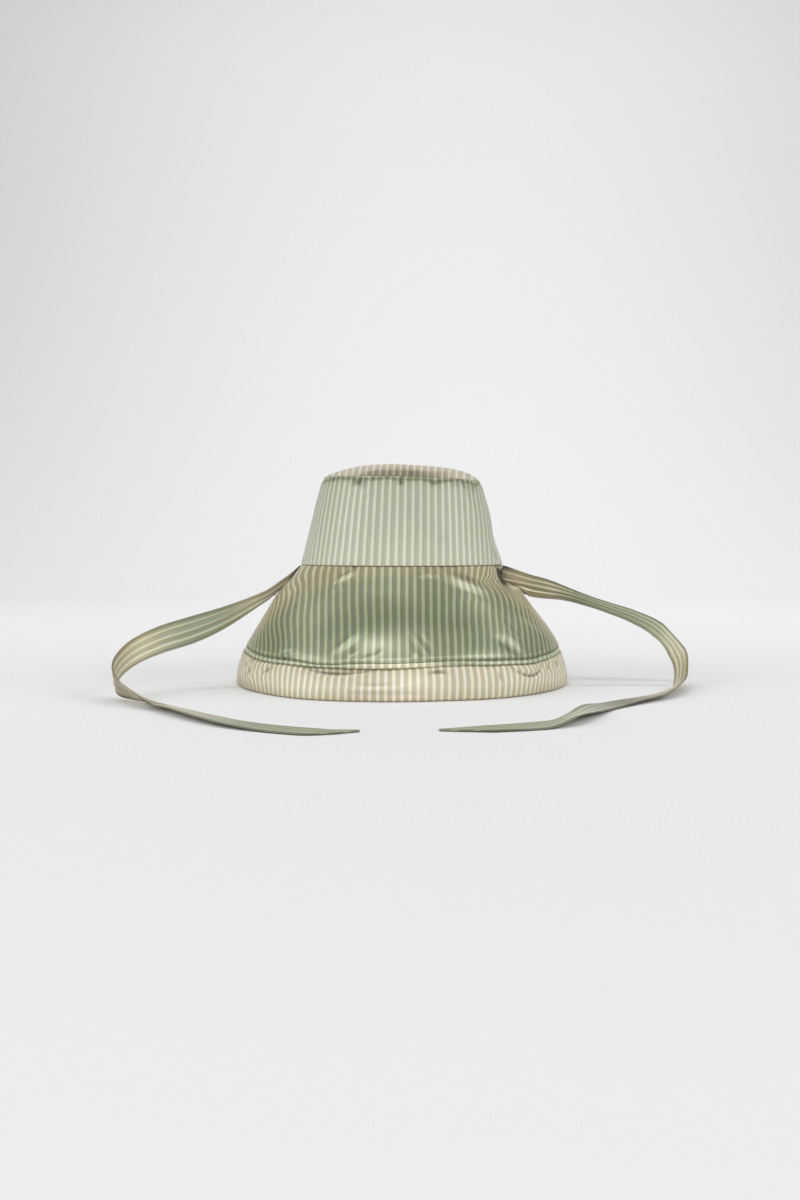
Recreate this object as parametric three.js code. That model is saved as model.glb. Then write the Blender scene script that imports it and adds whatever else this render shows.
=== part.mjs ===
// A soft sun hat of striped satin with two chin ties. It stands on the edge of its brim, and the ties lie on the
// surface before it. Millimetres, +Z up, the front faces -Y and +X is the wearer's left. The origin is the middle of
// the brim's edge, on the surface that the hat stands on.
import * as THREE from "three";

// Driving dimensions. Heights are above the surface, radii are to the outside of the cloth.
const CLOTH = 2; // satin, interlining and lining sewn as one wall
const SEAM_GAP = 0.3; // between two pieces that are sewn together
const HEM_SEAM = { height: 26.5, radius: 147.6, sideRise: 4.2 }; // the seam climbs by sideRise at the two side seams
const BRIM_EDGE_RADIUS = 152.2;
const BAND_SWELL = 1.6; // how far the hem band bulges at mid height
const CROWN_SEAM = { height: 108.6, brimRadius: 92.6, crownRadius: 93.6 };
const CROWN_TOP = { height: 183.8, radius: 74 };
const CROWN_SWELL = 1;
const CROWN_LEAN = 0.026; // the top of the crown settles by this share of x
const BRIM_FLARE = 68.5; // the brim's spread at the slope that it leaves the crown with
const TIP = { rise: 15.2, rim: 0.8, shoulder: 3.8, settle: 0.2 }; // shoulder: 2 is a round dome, more is flatter
const TIE = {
  cloth: 1.2, seamTop: 107.4, seamFoot: 83.5, seamStandoff: 1, opensOver: 30,
  pointLength: 34, pointWidth: 2.5, pointAside: 0.2,
};

// How finely the cloth is cut into faces.
const AROUND = 72;
const ROWS = { band: 4, brim: 9, crown: 5, tip: 7 };
const TIE_STEPS = 72;
const TIE_STRANDS = 2;

// Dents and folds: at is degrees round from the front, towards +X; height is millimetres; spread and tall are how far
// the fold reaches, in degrees and millimetres; out is its depth, negative where the cloth goes in.
const BRIM_FOLDS = [
  { at: -90, spread: 14, height: 82, tall: 14, out: 1.6 },
  { at: -54, spread: 11, height: 50, tall: 24, out: -2.2 },
  { at: -24, spread: 12, height: 42, tall: 18, out: 2.4 },
  { at: 4, spread: 10, height: 62, tall: 26, out: -1.6 },
  { at: 30, spread: 12, height: 44, tall: 20, out: 2.2 },
  { at: 52, spread: 9, height: 74, tall: 18, out: -2.4 },
  { at: 66, spread: 11, height: 42, tall: 18, out: 1.6 },
  { at: 92, spread: 13, height: 80, tall: 16, out: -2.6 },
  { at: 92, spread: 16, height: 44, tall: 13, out: 1.8 },
  { at: 84, spread: 6, height: 95, tall: 8, out: -3.5 },
  { at: 132, spread: 13, height: 50, tall: 24, out: 2.2 },
  { at: 160, spread: 12, height: 56, tall: 26, out: -2 },
  { at: 188, spread: 13, height: 46, tall: 22, out: 2.2 },
  { at: 216, spread: 12, height: 56, tall: 26, out: -2 },
  { at: 242, spread: 11, height: 46, tall: 24, out: 2 },
];
const BAND_FOLDS = [
  { at: -58, spread: 10, height: 12, tall: 11, out: 1.2 },
  { at: -20, spread: 14, height: 20, tall: 8, out: -1.3 },
  { at: -4, spread: 12, height: 8, tall: 8, out: -1.1 },
  { at: 40, spread: 12, height: 11, tall: 11, out: 1 },
  { at: 58, spread: 9, height: 22, tall: 6, out: -1.8 },
  { at: 120, spread: 14, height: 11, tall: 11, out: 1.2 },
  { at: 170, spread: 14, height: 12, tall: 11, out: -1.2 },
  { at: 225, spread: 14, height: 11, tall: 11, out: 1.2 },
];

// The ties' routes, chosen by hand. x and y are the middle of the tie; low is the height of its lower edge; turn is how
// far it has turned over from standing on edge, in degrees, towards its right as it runs from the hat; wide is how
// wide its soft lengthwise folds leave it there. Lengths are millimetres.
const TIE_LEFT_ROUTE = [
  { x: -116, y: -7, low: 80.6, turn: -38, wide: 10 },
  { x: -139.5, y: -18, low: 64.8, turn: -26, wide: 14.6 },
  { x: -164, y: -30, low: 49.7, turn: -12, wide: 20 },
  { x: -187.5, y: -42, low: 38.8, turn: -4, wide: 23.6 },
  { x: -213, y: -60, low: 30.8, turn: -5, wide: 24 },
  { x: -229.5, y: -87, low: 22.8, turn: -7, wide: 24 },
  { x: -237.5, y: -111, low: 13.2, turn: -5, wide: 24 },
  { x: -237, y: -128, low: 4, turn: 11, wide: 23.4 },
  { x: -225, y: -145, low: 0.7, turn: 38, wide: 24 },
  { x: -207, y: -167, low: 0.5, turn: 59, wide: 24 },
  { x: -187.5, y: -187, low: 0.5, turn: 79, wide: 21 },
  { x: -169, y: -211, low: 0.5, turn: 79, wide: 22.5 },
  { x: -144, y: -244, low: 0.5, turn: 82, wide: 24.6 },
  { x: -116, y: -275, low: 0.5, turn: 86, wide: 25 },
  { x: -85, y: -296, low: 0.5, turn: 90, wide: 25 },
  { x: -56, y: -308, low: 0.5, turn: 90, wide: 25 },
  { x: -28.5, y: -307, low: 0.5, turn: 90, wide: 25 },
];
const TIE_RIGHT_ROUTE = [
  { x: 121, y: -5, low: 78.6, turn: -14, wide: 19.6 },
  { x: 147, y: -7, low: 75.8, turn: -47, wide: 19 },
  { x: 171, y: -6.5, low: 69.7, turn: -61, wide: 20 },
  { x: 192, y: -7, low: 62.8, turn: -64, wide: 21 },
  { x: 213, y: -10, low: 54.8, turn: -62, wide: 21.6 },
  { x: 235, y: -16, low: 41.8, turn: -54, wide: 20 },
  { x: 251.5, y: -25, low: 20.4, turn: -48, wide: 15.6 },
  { x: 247, y: -52, low: 1.8, turn: -46, wide: 17.2 },
  { x: 231, y: -94, low: 0.7, turn: -62, wide: 18 },
  { x: 210, y: -126, low: 0.5, turn: -80, wide: 20.4 },
  { x: 187, y: -150, low: 0.5, turn: -86, wide: 22.5 },
  { x: 166, y: -173, low: 0.5, turn: -90, wide: 23.4 },
  { x: 150, y: -194, low: 0.5, turn: -94, wide: 24 },
  { x: 134, y: -228, low: 0.5, turn: -83, wide: 24 },
  { x: 117, y: -262, low: 0.5, turn: -77, wide: 23.6 },
  { x: 96, y: -281, low: 0.5, turn: -91, wide: 24.4 },
  { x: 62, y: -293, low: 0.5, turn: -89, wide: 24 },
  { x: 26.5, y: -303, low: 0.5, turn: -90, wide: 24 },
];

const satin = (name, colour) => new THREE.MeshStandardMaterial({ name, color: colour, roughness: 0.42, metalness: 0 });
const MATERIALS = {
  crown: satin("pale sage stripe", 0xb4bfa2),
  brim: satin("sage stripe", 0x8f9b74),
  tip: satin("sand stripe", 0xb3a68a),
  band: satin("cream stripe", 0xd2c9a9),
  tie: satin("tie stripe", 0x9fa583),
};

// A point at an angle round from the front and a radius, with the crown's lean.
function place(degrees, radius, height) {
  const angle = THREE.MathUtils.degToRad(degrees);
  const x = radius * Math.sin(angle);
  const leaning = THREE.MathUtils.smoothstep(height, CROWN_SEAM.height, CROWN_TOP.height);
  return new THREE.Vector3(x, -radius * Math.cos(angle), height - CROWN_LEAN * x * leaning);
}

// The sum of the folds' bell-shaped reliefs at one place of the cloth.
function relief(folds, degrees, height) {
  let out = 0;
  for (const fold of folds) {
    const round = THREE.MathUtils.euclideanModulo(degrees - fold.at + 180, 360) - 180;
    const across = round / fold.spread;
    const up = (height - fold.height) / fold.tall;
    out += fold.out * Math.exp(-across * across - up * up);
  }
  return out;
}

// Height of the seam between the brim and its hem band: level, and pulled up at the two side seams.
function hemHeight(degrees) {
  return HEM_SEAM.height + HEM_SEAM.sideRise * Math.sin(THREE.MathUtils.degToRad(degrees)) ** 8;
}

// Radius of the hem band: a straight flare with a slight swell.
function bandRadius(height) {
  const share = height / HEM_SEAM.height;
  const flare = THREE.MathUtils.lerp(BRIM_EDGE_RADIUS, HEM_SEAM.radius, share);
  return flare + BAND_SWELL * Math.sin(Math.PI * Math.min(share, 1));
}

// Radius of the brim: it leaves the crown at its widest slope and steepens towards the hem, as a parabola.
function brimRadius(height) {
  const share = (CROWN_SEAM.height - height) / (CROWN_SEAM.height - HEM_SEAM.height);
  const spread = HEM_SEAM.radius - CROWN_SEAM.brimRadius;
  return CROWN_SEAM.brimRadius + BRIM_FLARE * share - (BRIM_FLARE - spread) * share * share;
}

// Radius of the crown's side: a cone with a slight swell.
function crownRadius(height) {
  const share = (height - CROWN_SEAM.height) / (CROWN_TOP.height - CROWN_SEAM.height);
  const cone = THREE.MathUtils.lerp(CROWN_SEAM.crownRadius, CROWN_TOP.radius, share);
  return cone + CROWN_SWELL * Math.sin(Math.PI * share);
}

// Closes two facing grids of points, front[i][j] and back[i][j], into one solid. i runs round or along, j runs across;
// a looped grid joins its last i to its first. Triangles that have shrunk to nothing, as at a pole, are left out.
function closeWall(front, back, looped) {
  const positions = [];
  const add = (a, b, c) => {
    const flat = [a, b, c].some((p, n, all) => p.distanceTo(all[(n + 1) % 3]) < 1e-6);
    if (!flat) positions.push(...a.toArray(), ...b.toArray(), ...c.toArray());
  };
  const quad = (a, b, c, d) => {
    add(a, b, c);
    add(a, c, d);
  };
  const rows = front[0].length - 1;
  const last = front.length - 1;
  for (let i = 0; i < (looped ? front.length : last); i++) {
    const n = (i + 1) % front.length;
    for (let j = 0; j < rows; j++) {
      quad(front[i][j], front[n][j], front[n][j + 1], front[i][j + 1]);
      quad(back[i][j], back[i][j + 1], back[n][j + 1], back[n][j]);
    }
    quad(front[i][0], back[i][0], back[n][0], front[n][0]);
    quad(front[i][rows], front[n][rows], back[n][rows], back[i][rows]);
  }
  for (let j = 0; j < rows && !looped; j++) {
    quad(front[0][j], front[0][j + 1], back[0][j + 1], back[0][j]);
    quad(front[last][j], back[last][j], back[last][j + 1], front[last][j + 1]);
  }
  return new THREE.BufferGeometry().setAttribute("position", new THREE.Float32BufferAttribute(positions, 3));
}

// A wall of cloth whose outside has radiusAt(height) plus its folds, between two angles and, at each angle, between
// the heights that low and high give.
function clothWall({ radiusAt, folds, from, to, low, high, rows }) {
  const looped = to - from === 360;
  const steps = Math.round((AROUND * (to - from)) / 360);
  const columns = Array.from({ length: looped ? steps : steps + 1 }, (_, i) => from + ((to - from) * i) / steps);
  const level = (degrees, j, inset) => {
    const height = THREE.MathUtils.lerp(low(degrees), high(degrees), j / rows);
    const slope = radiusAt(height + 0.5) - radiusAt(height - 0.5);
    const outside = radiusAt(height) + relief(folds, degrees, height);
    return place(degrees, outside - inset * Math.hypot(1, slope), height);
  };
  const side = (inset) => columns.map((degrees) =>
    Array.from({ length: rows + 1 }, (_, j) => level(degrees, j, inset)));
  return closeWall(side(0), side(CLOTH), looped);
}

// The crown's tip: a pillow-shaped dome with a flat underside where it is sewn to the crown's side.
function tipDome() {
  const seat = CROWN_TOP.height + SEAM_GAP;
  const columns = Array.from({ length: AROUND }, (_, i) => (360 * i) / AROUND);
  // Rings are closer together at the shoulder, where the dome curves most.
  const shares = Array.from({ length: ROWS.tip + 1 }, (_, j) => Math.cos((Math.PI / 2) * (j / ROWS.tip)));
  const top = (degrees, share) => {
    const settled = 1 + TIP.settle * share * share * Math.sin(THREE.MathUtils.degToRad(degrees));
    return seat + TIP.rim + TIP.rise * (1 - share ** TIP.shoulder) * settled;
  };
  const front = columns.map((degrees) =>
    shares.map((share) => place(degrees, CROWN_TOP.radius * share, top(degrees, share))));
  const back = columns.map((degrees) =>
    shares.map((share) => place(degrees, CROWN_TOP.radius * share, Math.max(seat, top(degrees, share) - CLOTH))));
  return closeWall(front, back, true);
}

// A tie: a flat strip that follows its route. Its root is gathered along the side seam, and its end is cut to a point.
function tieStrip(route, side) {
  // One point of the root: against the brim's side seam, from its top (share 1) to its foot (share 0).
  const seat = (share) => {
    const height = THREE.MathUtils.lerp(TIE.seamFoot, TIE.seamTop, share);
    const radius = brimRadius(height) + relief(BRIM_FOLDS, 90 * side, height);
    return place(90 * side, radius + TIE.seamStandoff, height);
  };
  const root = seat(0.5);
  const rows = route.map(({ x, y, low, turn, wide }) => {
    const stands = Math.abs(Math.cos(THREE.MathUtils.degToRad(turn)));
    const lies = Math.abs(Math.sin(THREE.MathUtils.degToRad(turn)));
    return { middle: new THREE.Vector3(x, y, low + (wide / 2) * stands + (TIE.cloth / 2) * lies), turn, wide };
  });
  const curveOf = (points) => new THREE.CatmullRomCurve3(points, false, "catmullrom", 0.5);
  const middle = curveOf([root, ...rows.map((row) => row.middle)]);
  const shape = curveOf([rows[0], ...rows].map((row) => new THREE.Vector3(row.turn, row.wide, 0)));
  middle.arcLengthDivisions = 800;
  const length = middle.getLength();
  const front = [];
  const back = [];
  for (let i = 0; i <= TIE_STEPS; i++) {
    const run = (i / TIE_STEPS) * length;
    const parameter = middle.getUtoTmapping(i / TIE_STEPS);
    const along = middle.getTangent(parameter).normalize();
    const { x: turned, y: width } = shape.getPoint(parameter);
    const turn = THREE.MathUtils.degToRad(turned);
    const up = new THREE.Vector3(0, 0, 1).addScaledVector(along, -along.z).normalize();
    const right = along.clone().cross(up);
    const across = up.multiplyScalar(Math.cos(turn)).addScaledVector(right, Math.sin(turn));
    const opened = THREE.MathUtils.smoothstep(run, 0, TIE.opensOver);
    // The end is cut on the slant: one edge runs on to the point and the other comes in to meet it.
    const cut = THREE.MathUtils.clamp((length - run) / TIE.pointLength, 0, 1);
    const kept = THREE.MathUtils.lerp(TIE.pointWidth / width, 1, cut);
    const centre = middle.getPoint(parameter).addScaledVector(across, -TIE.pointAside * (1 - kept) * width);
    const points = Array.from({ length: TIE_STRANDS + 1 }, (_, j) => {
      const share = j / TIE_STRANDS;
      const free = centre.clone().addScaledVector(across, width * kept * (share - 0.5));
      const sewn = seat(share).addScaledVector(along, run);
      return sewn.lerp(free, opened);
    });
    const spread = points[TIE_STRANDS].clone().sub(points[0]).normalize();
    const face = along.clone().cross(spread).normalize().multiplyScalar(TIE.cloth / 2);
    front.push(points.map((point) => point.clone().add(face)));
    back.push(points.map((point) => point.clone().sub(face)));
  }
  return closeWall(front, back, false);
}

// The side seams' half gap as an angle, at the crown's radius.
const SEAM_ANGLE = THREE.MathUtils.radToDeg(SEAM_GAP / CROWN_SEAM.brimRadius);
const brimPanel = (from, to) => clothWall({
  radiusAt: brimRadius, folds: BRIM_FOLDS, from, to,
  low: hemHeight, high: () => CROWN_SEAM.height - SEAM_GAP, rows: ROWS.brim,
});

const hat = new THREE.Group();
function add(name, geometry, material) {
  geometry.computeVertexNormals();
  const mesh = new THREE.Mesh(geometry, material);
  mesh.name = name;
  hat.add(mesh);
}

add("brim_band", clothWall({
  radiusAt: bandRadius, folds: BAND_FOLDS, from: 0, to: 360,
  low: () => 0, high: (degrees) => hemHeight(degrees) - SEAM_GAP, rows: ROWS.band,
}), MATERIALS.band);
add("brim_front", brimPanel(-90 + SEAM_ANGLE, 90 - SEAM_ANGLE), MATERIALS.brim);
add("brim_back", brimPanel(90 + SEAM_ANGLE, 270 - SEAM_ANGLE), MATERIALS.brim);
add("crown_side", clothWall({
  radiusAt: crownRadius, folds: [], from: 0, to: 360,
  low: () => CROWN_SEAM.height, high: () => CROWN_TOP.height, rows: ROWS.crown,
}), MATERIALS.crown);
add("crown_tip", tipDome(), MATERIALS.tip);
add("tie_left", tieStrip(TIE_LEFT_ROUTE, -1), MATERIALS.tie);
add("tie_right", tieStrip(TIE_RIGHT_ROUTE, 1), MATERIALS.tie);

export default hat;
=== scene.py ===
# A soft sun hat of striped satin with two free chin ties. It stands on the edge of its brim with the ties
# lying on the surface before it. Shapes are worked out in millimetres and put into the meshes in metres, in
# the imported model's frame.
import math

import bmesh
import bpy
import numpy as np
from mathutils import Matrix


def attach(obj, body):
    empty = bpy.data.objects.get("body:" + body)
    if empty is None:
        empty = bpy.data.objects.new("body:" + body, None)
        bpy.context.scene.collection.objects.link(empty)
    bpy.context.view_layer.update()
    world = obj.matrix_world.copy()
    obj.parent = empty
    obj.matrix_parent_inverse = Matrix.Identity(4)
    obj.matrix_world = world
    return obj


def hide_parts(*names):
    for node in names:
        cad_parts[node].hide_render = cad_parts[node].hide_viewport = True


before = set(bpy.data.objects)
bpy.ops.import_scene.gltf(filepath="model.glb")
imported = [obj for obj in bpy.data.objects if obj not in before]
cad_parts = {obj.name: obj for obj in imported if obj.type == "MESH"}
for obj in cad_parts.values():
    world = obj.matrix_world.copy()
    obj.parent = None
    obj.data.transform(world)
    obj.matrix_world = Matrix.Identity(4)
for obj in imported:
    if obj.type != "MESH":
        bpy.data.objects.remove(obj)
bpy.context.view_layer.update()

# The camera stands level, 1116 mm before the hat's axis and 128 mm above the surface. The frame is 800 by
# 1200 pixels with a focal length of 1200, and its middle is 57 pixels below the level line and 2 pixels
# left of the hat's axis.
CAMERA_BEFORE, CAMERA_UP = 1.116, 0.1282
FRAME_PIXELS, MIDDLE_RIGHT, MIDDLE_UP = 1200, -2, -57


def added(name, data):
    """A new object of the scene, with that data."""
    thing = bpy.data.objects.new(name, data)
    bpy.context.scene.collection.objects.link(thing)
    return thing


camera = added("camera", bpy.data.cameras.new("camera"))
bpy.context.scene.camera = camera
camera.data.lens = camera.data.sensor_width = 36.0
camera.data.shift_x, camera.data.shift_y = MIDDLE_RIGHT / FRAME_PIXELS, MIDDLE_UP / FRAME_PIXELS
camera.location = (0.0, -CAMERA_BEFORE, CAMERA_UP)
camera.rotation_euler = (math.pi / 2, 0.0, 0.0)

# Chin ties. Each is a 25 mm ribbon of a single layer of the hat's striped satin with narrow turned
# edges, its gathered root caught in the side seam under the crown and its end cut on the slant. They
# are limp and lie loose.
TIE_WIDTH, TIE_THICKNESS = 25.0, 1.1
TIE_SEAM_TOP = 107.4
TIE_OPENS_OVER = 30.0
TIE_POINT_LENGTH, TIE_POINT_WIDTH, TIE_POINT_ASIDE = 34.0, 2.5, 0.2
TIE_LYING_HEIGHT, TIE_FLOOR_GAP, TIE_LIP = 0.6, 0.12, 0.5
# gathers across the root, where in a wave they start, and how much of a wave they drift each millimetre
TIE_GATHERS, TIE_GATHER_START, TIE_GATHER_DRIFT = 3.0, 0.15, 0.0016
# their depth at the root, over how many millimetres it fades, and what is left of it to the end
TIE_GATHER_DEPTH, TIE_GATHER_FADE, TIE_FOLD_DEPTH = 1.8, 45.0, 0.4
# how much of the dyed length is hidden in the side seam
TIE_HIDDEN = {"tie_left": 12.0, "tie_right": 6.0}

# the angle of the root round from the front, how far it stands off the brim, the height of its foot, and
# the ribbon's route: x and y of its middle, the height of its lower edge, its turn from standing on edge
# in degrees, its width
TIE_ROUTES = {
    "tie_left": (-90, 1.0, 83.5, [
        (-116, -7, 80.6, -38, 10), (-139.5, -18, 64.8, -26, 14.6), (-164, -30, 49.7, -12, 20),
        (-187.5, -42, 38.8, -4, 23.6), (-213, -60, 30.8, -5, 24), (-229.5, -87, 22.8, -7, 24),
        (-237.5, -111, 13.2, -5, 24), (-237, -128, 4, 11, 23.4), (-225, -145, 0.7, 38, 24),
        (-207, -167, 0.5, 59, 24), (-187.5, -187, 0.5, 79, 21), (-169, -211, 0.5, 79, 22.5),
        (-144, -244, 0.5, 82, 24.6), (-116, -275, 0.5, 86, 25), (-85, -296, 0.5, 90, 25),
        (-56, -308, 0.5, 90, 25), (-28.5, -307, 0.5, 90, 25)]),
    "tie_right": (84, 0.8, 81.5, [
        (121, -5, 78.6, -14, 19.6), (147, -7, 75.8, -47, 19), (171, -6.5, 69.7, -61, 20),
        (192, -7, 62.8, -64, 21), (213, -10, 54.8, -62, 21.6), (235, -16, 41.8, -54, 20),
        (251.5, -25, 20.4, -48, 15.6), (247, -52, 1.8, -46, 17.2), (231, -94, 0.7, -62, 18),
        (210, -126, 0.5, -80, 20.4), (187, -150, 0.5, -86, 22.5), (166, -173, 0.5, -90, 23.4),
        (150, -194, 0.5, -94, 24), (134, -228, 0.5, -83, 24), (117, -262, 0.5, -77, 23.6),
        (96, -281, 0.5, -91, 24.4), (62, -293, 0.5, -89, 24), (26.5, -303, 0.5, -90, 24)]),
}

# the brim's own outline and soft folds, which the ties' roots lie against
HEM_SEAM_HEIGHT, HEM_SEAM_RADIUS, HEM_SIDE_RISE = 26.5, 147.6, 4.2
CROWN_SEAM_HEIGHT, BRIM_TOP_RADIUS, CROWN_FOOT_RADIUS = 108.6, 92.6, 93.6
CROWN_TOP_HEIGHT, CROWN_TOP_RADIUS = 183.8, 74.0
CROWN_DROOP = 0.026
BRIM_FLARE = 68.5
# angle round from the front in degrees, its spread, height, how tall, how far out
BRIM_FOLDS = np.array([
    (-90, 14, 82, 14, 1.6), (-54, 11, 50, 24, -2.2), (-10, 16, 31, 11, 2.6), (-8, 22, 62, 15, -2.8),
    (30, 12, 38, 14, 1.2), (24, 12, 64, 14, -1.6), (52, 9, 74, 18, -2.4), (66, 11, 42, 18, 1.6),
    (92, 13, 80, 16, -2.6), (92, 16, 44, 13, 1.8), (84, 6, 95, 8, -3.5), (132, 13, 50, 24, 2.2),
    (160, 12, 56, 26, -2), (188, 13, 46, 22, 2.2), (216, 12, 56, 26, -2), (242, 11, 46, 24, 2)])
# the same, for the hollows that the ties' roots are drawn into
TIE_POCKETS = [(78, 12, 97, 6.5, -10.0), (76, 10, 86.5, 2.6, 1.4), (-86, 8, 97, 6, -2.0)]


def smoothstep(value, low, high):
    """0 below low, 1 above high, and 3t^2 - 2t^3 of the share t between them."""
    share = np.clip((value - low) / (high - low), 0.0, 1.0)
    return share * share * (3.0 - 2.0 * share)


def place(degrees, radius, height):
    """Points of the hat from angle round from the front, radius and height. The crown has settled sideways:
    it drops by its droop times x, eased in from its seam to its top."""
    angle = np.radians(degrees)
    x = radius * np.sin(angle)
    drop = CROWN_DROOP * x * smoothstep(height, CROWN_SEAM_HEIGHT, CROWN_TOP_HEIGHT)
    return np.stack(np.broadcast_arrays(x, -radius * np.cos(angle), height - drop), axis=-1)


def turned(degrees, at):
    """The signed angle from at to degrees, between -180 and 180."""
    return (degrees - at + 180.0) % 360.0 - 180.0


def soft_relief(folds, degrees, height):
    """The sum of bell-shaped folds: out times e to the minus (angle / spread)^2 + (height / tall)^2. A sixth
    number bends a fold: its middle is higher by that times the angle squared."""
    out = np.zeros(np.broadcast(degrees, height).shape)
    for at, spread, middle, tall, rise, *bend in folds:
        away = turned(degrees, at)
        out += rise * np.exp(-(away / spread) ** 2 - ((height - middle - sum(bend) * away ** 2) / tall) ** 2)
    return out


def brim_radius(height):
    """A parabola in the height: widest slope at the crown, steeper towards the hem."""
    share = (CROWN_SEAM_HEIGHT - height) / (CROWN_SEAM_HEIGHT - HEM_SEAM_HEIGHT)
    spread = HEM_SEAM_RADIUS - BRIM_TOP_RADIUS
    return BRIM_TOP_RADIUS + BRIM_FLARE * share - (BRIM_FLARE - spread) * share ** 2


def spline(points, where):
    """A uniform Catmull-Rom curve through points. Between neighbours b and c, with a before and d
    after them, it is the cubic that leaves b along (c - a) / 2 and reaches c along (d - b) / 2; its
    ends run on straight."""
    ends = np.vstack([2 * points[0] - points[1], points, 2 * points[-1] - points[-2]])
    step = np.clip(np.floor(where).astype(int), 0, len(points) - 2)
    t = (where - step)[:, None]
    a, b, c, d = (ends[step + n] for n in range(4))
    return b + 0.5 * t * (c - a + t * (2 * a - 5 * b + 4 * c - d + t * (3 * (b - c) + d - a)))


def unit(vectors):
    """The vectors along the last axis, each divided by its length."""
    return vectors / np.maximum(np.linalg.norm(vectors, axis=-1, keepdims=True), 1e-9)


def hemmed(face, reverse, first_lip, last_lip):
    """Rings round a cloth from its face[i, j] and reverse[i, j]. Past the first and last j, two points at 60
    and 120 degrees of a half ellipse, lip millimetres deep, carry the face over into the reverse."""
    middle, half = (face + reverse) / 2, (face - reverse) / 2

    def over(j, inner, lip):
        out = unit(face[:, j] - face[:, inner]) * lip * math.sin(math.pi / 3)
        return [middle[:, j] + out + half[:, j] / 2, middle[:, j] + out - half[:, j] / 2]

    start, stop = over(0, 1, first_lip), over(-1, -2, last_lip)
    columns = [start[0], *np.moveaxis(face, 1, 0), *stop, *np.moveaxis(reverse, 1, 0)[::-1], start[1]]
    return np.stack(columns, axis=1)


def ring_pattern(cut):
    """The place on the flat cloth of each point of hemmed(), from that of the face's points."""
    first, last = cut[:, :1], cut[:, -1:]
    return np.concatenate([first, cut, last, last, cut[:, ::-1], first], axis=1)


def ring_shade(valley):
    """The painted shade, -1 to 2, of each point of hemmed(), from that of the face's points; below 0 it is a
    painted highlight.
    """
    return ring_pattern(np.clip(valley, -1, 2)[..., None])[..., 0]


def painted_sheen_mask(relief, height, low, high):
    """How much folds turn the cloth's face up, 0 to 1: a smooth step of minus their rise for a millimetre of
    height, from low to high. It masks a painted highlight: the satin is painted lighter where it faces up."""
    return smoothstep(-np.gradient(relief, axis=1) / np.gradient(height, axis=1), low, high)


def six_volumes(points, quads):
    """Six times the volume that the quads enclose, less than 0 where they face inwards: the sum over the
    quads of a dot (b cross c + c cross d)."""
    a, b, c, d = (points[quads[:, n]] for n in range(4))
    return np.einsum("ij,ij->", a, np.cross(b, c) + np.cross(c, d))


def in_hat(name, mesh):
    """The mesh as an object of the hat's one body."""
    piece = added(name, mesh)
    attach(piece, "root")
    return piece


def cloth_piece(name, rings, cut, valley, joined_along, joined_round, satins):
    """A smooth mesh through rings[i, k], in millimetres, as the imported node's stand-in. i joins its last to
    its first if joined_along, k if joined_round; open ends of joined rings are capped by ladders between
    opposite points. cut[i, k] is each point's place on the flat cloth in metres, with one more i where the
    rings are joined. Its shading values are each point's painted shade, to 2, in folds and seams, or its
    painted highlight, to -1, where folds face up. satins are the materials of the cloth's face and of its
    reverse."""
    along, round_ = rings.shape[:2]
    i, k = np.meshgrid(np.arange(along - (not joined_along)), np.arange(round_ - (not joined_round)),
                       indexing="ij")
    around_quad = ((0, 0), (1, 0), (1, 1), (0, 1))
    corners = np.stack([np.stack([i + a, k + b], -1) for a, b in around_quad], 2).reshape(-1, 4, 2)
    inside = ((k > round_ // 2) & (k < round_ - 2)).ravel()
    if joined_round and not joined_along:
        rung = np.arange(round_ // 2 - 1)
        for end, order in ((0, 1), (along - 1, -1)):
            ladder = np.stack([rung, rung + 1, round_ - 2 - rung, round_ - 1 - rung], -1)[:, ::order]
            corners = np.concatenate([corners, np.stack([np.full_like(ladder, end), ladder], -1)])
            inside = np.append(inside, np.zeros(len(rung), bool))
    points = rings.reshape(-1, 3) * 0.001
    quads = corners[..., 0] % along * round_ + corners[..., 1] % round_
    if six_volumes(points, quads) < 0:
        corners, quads = corners[:, ::-1], quads[:, ::-1]
    mesh = bpy.data.meshes.new(name)
    mesh.from_pydata(points.tolist(), [], quads.tolist())
    pattern = mesh.uv_layers.new(name="flat cloth")
    places = cut[corners[..., 0], corners[..., 1] % round_]
    pattern.uv.foreach_set("vector", places.astype(np.float32).ravel())
    shading_layer = mesh.attributes.new("valley", "FLOAT", "POINT")
    shading_layer.data.foreach_set("value", valley.astype(np.float32).ravel())
    mesh.polygons.foreach_set("material_index", inside.astype(np.int32))
    if not joined_round:
        welded = bmesh.new()
        welded.from_mesh(mesh)
        bmesh.ops.remove_doubles(welded, verts=welded.verts, dist=1e-7)
        welded.to_mesh(mesh)
        welded.free()
    mesh.shade_smooth()
    for satin in satins:
        mesh.materials.append(satin)
    return in_hat(name, mesh)


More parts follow.
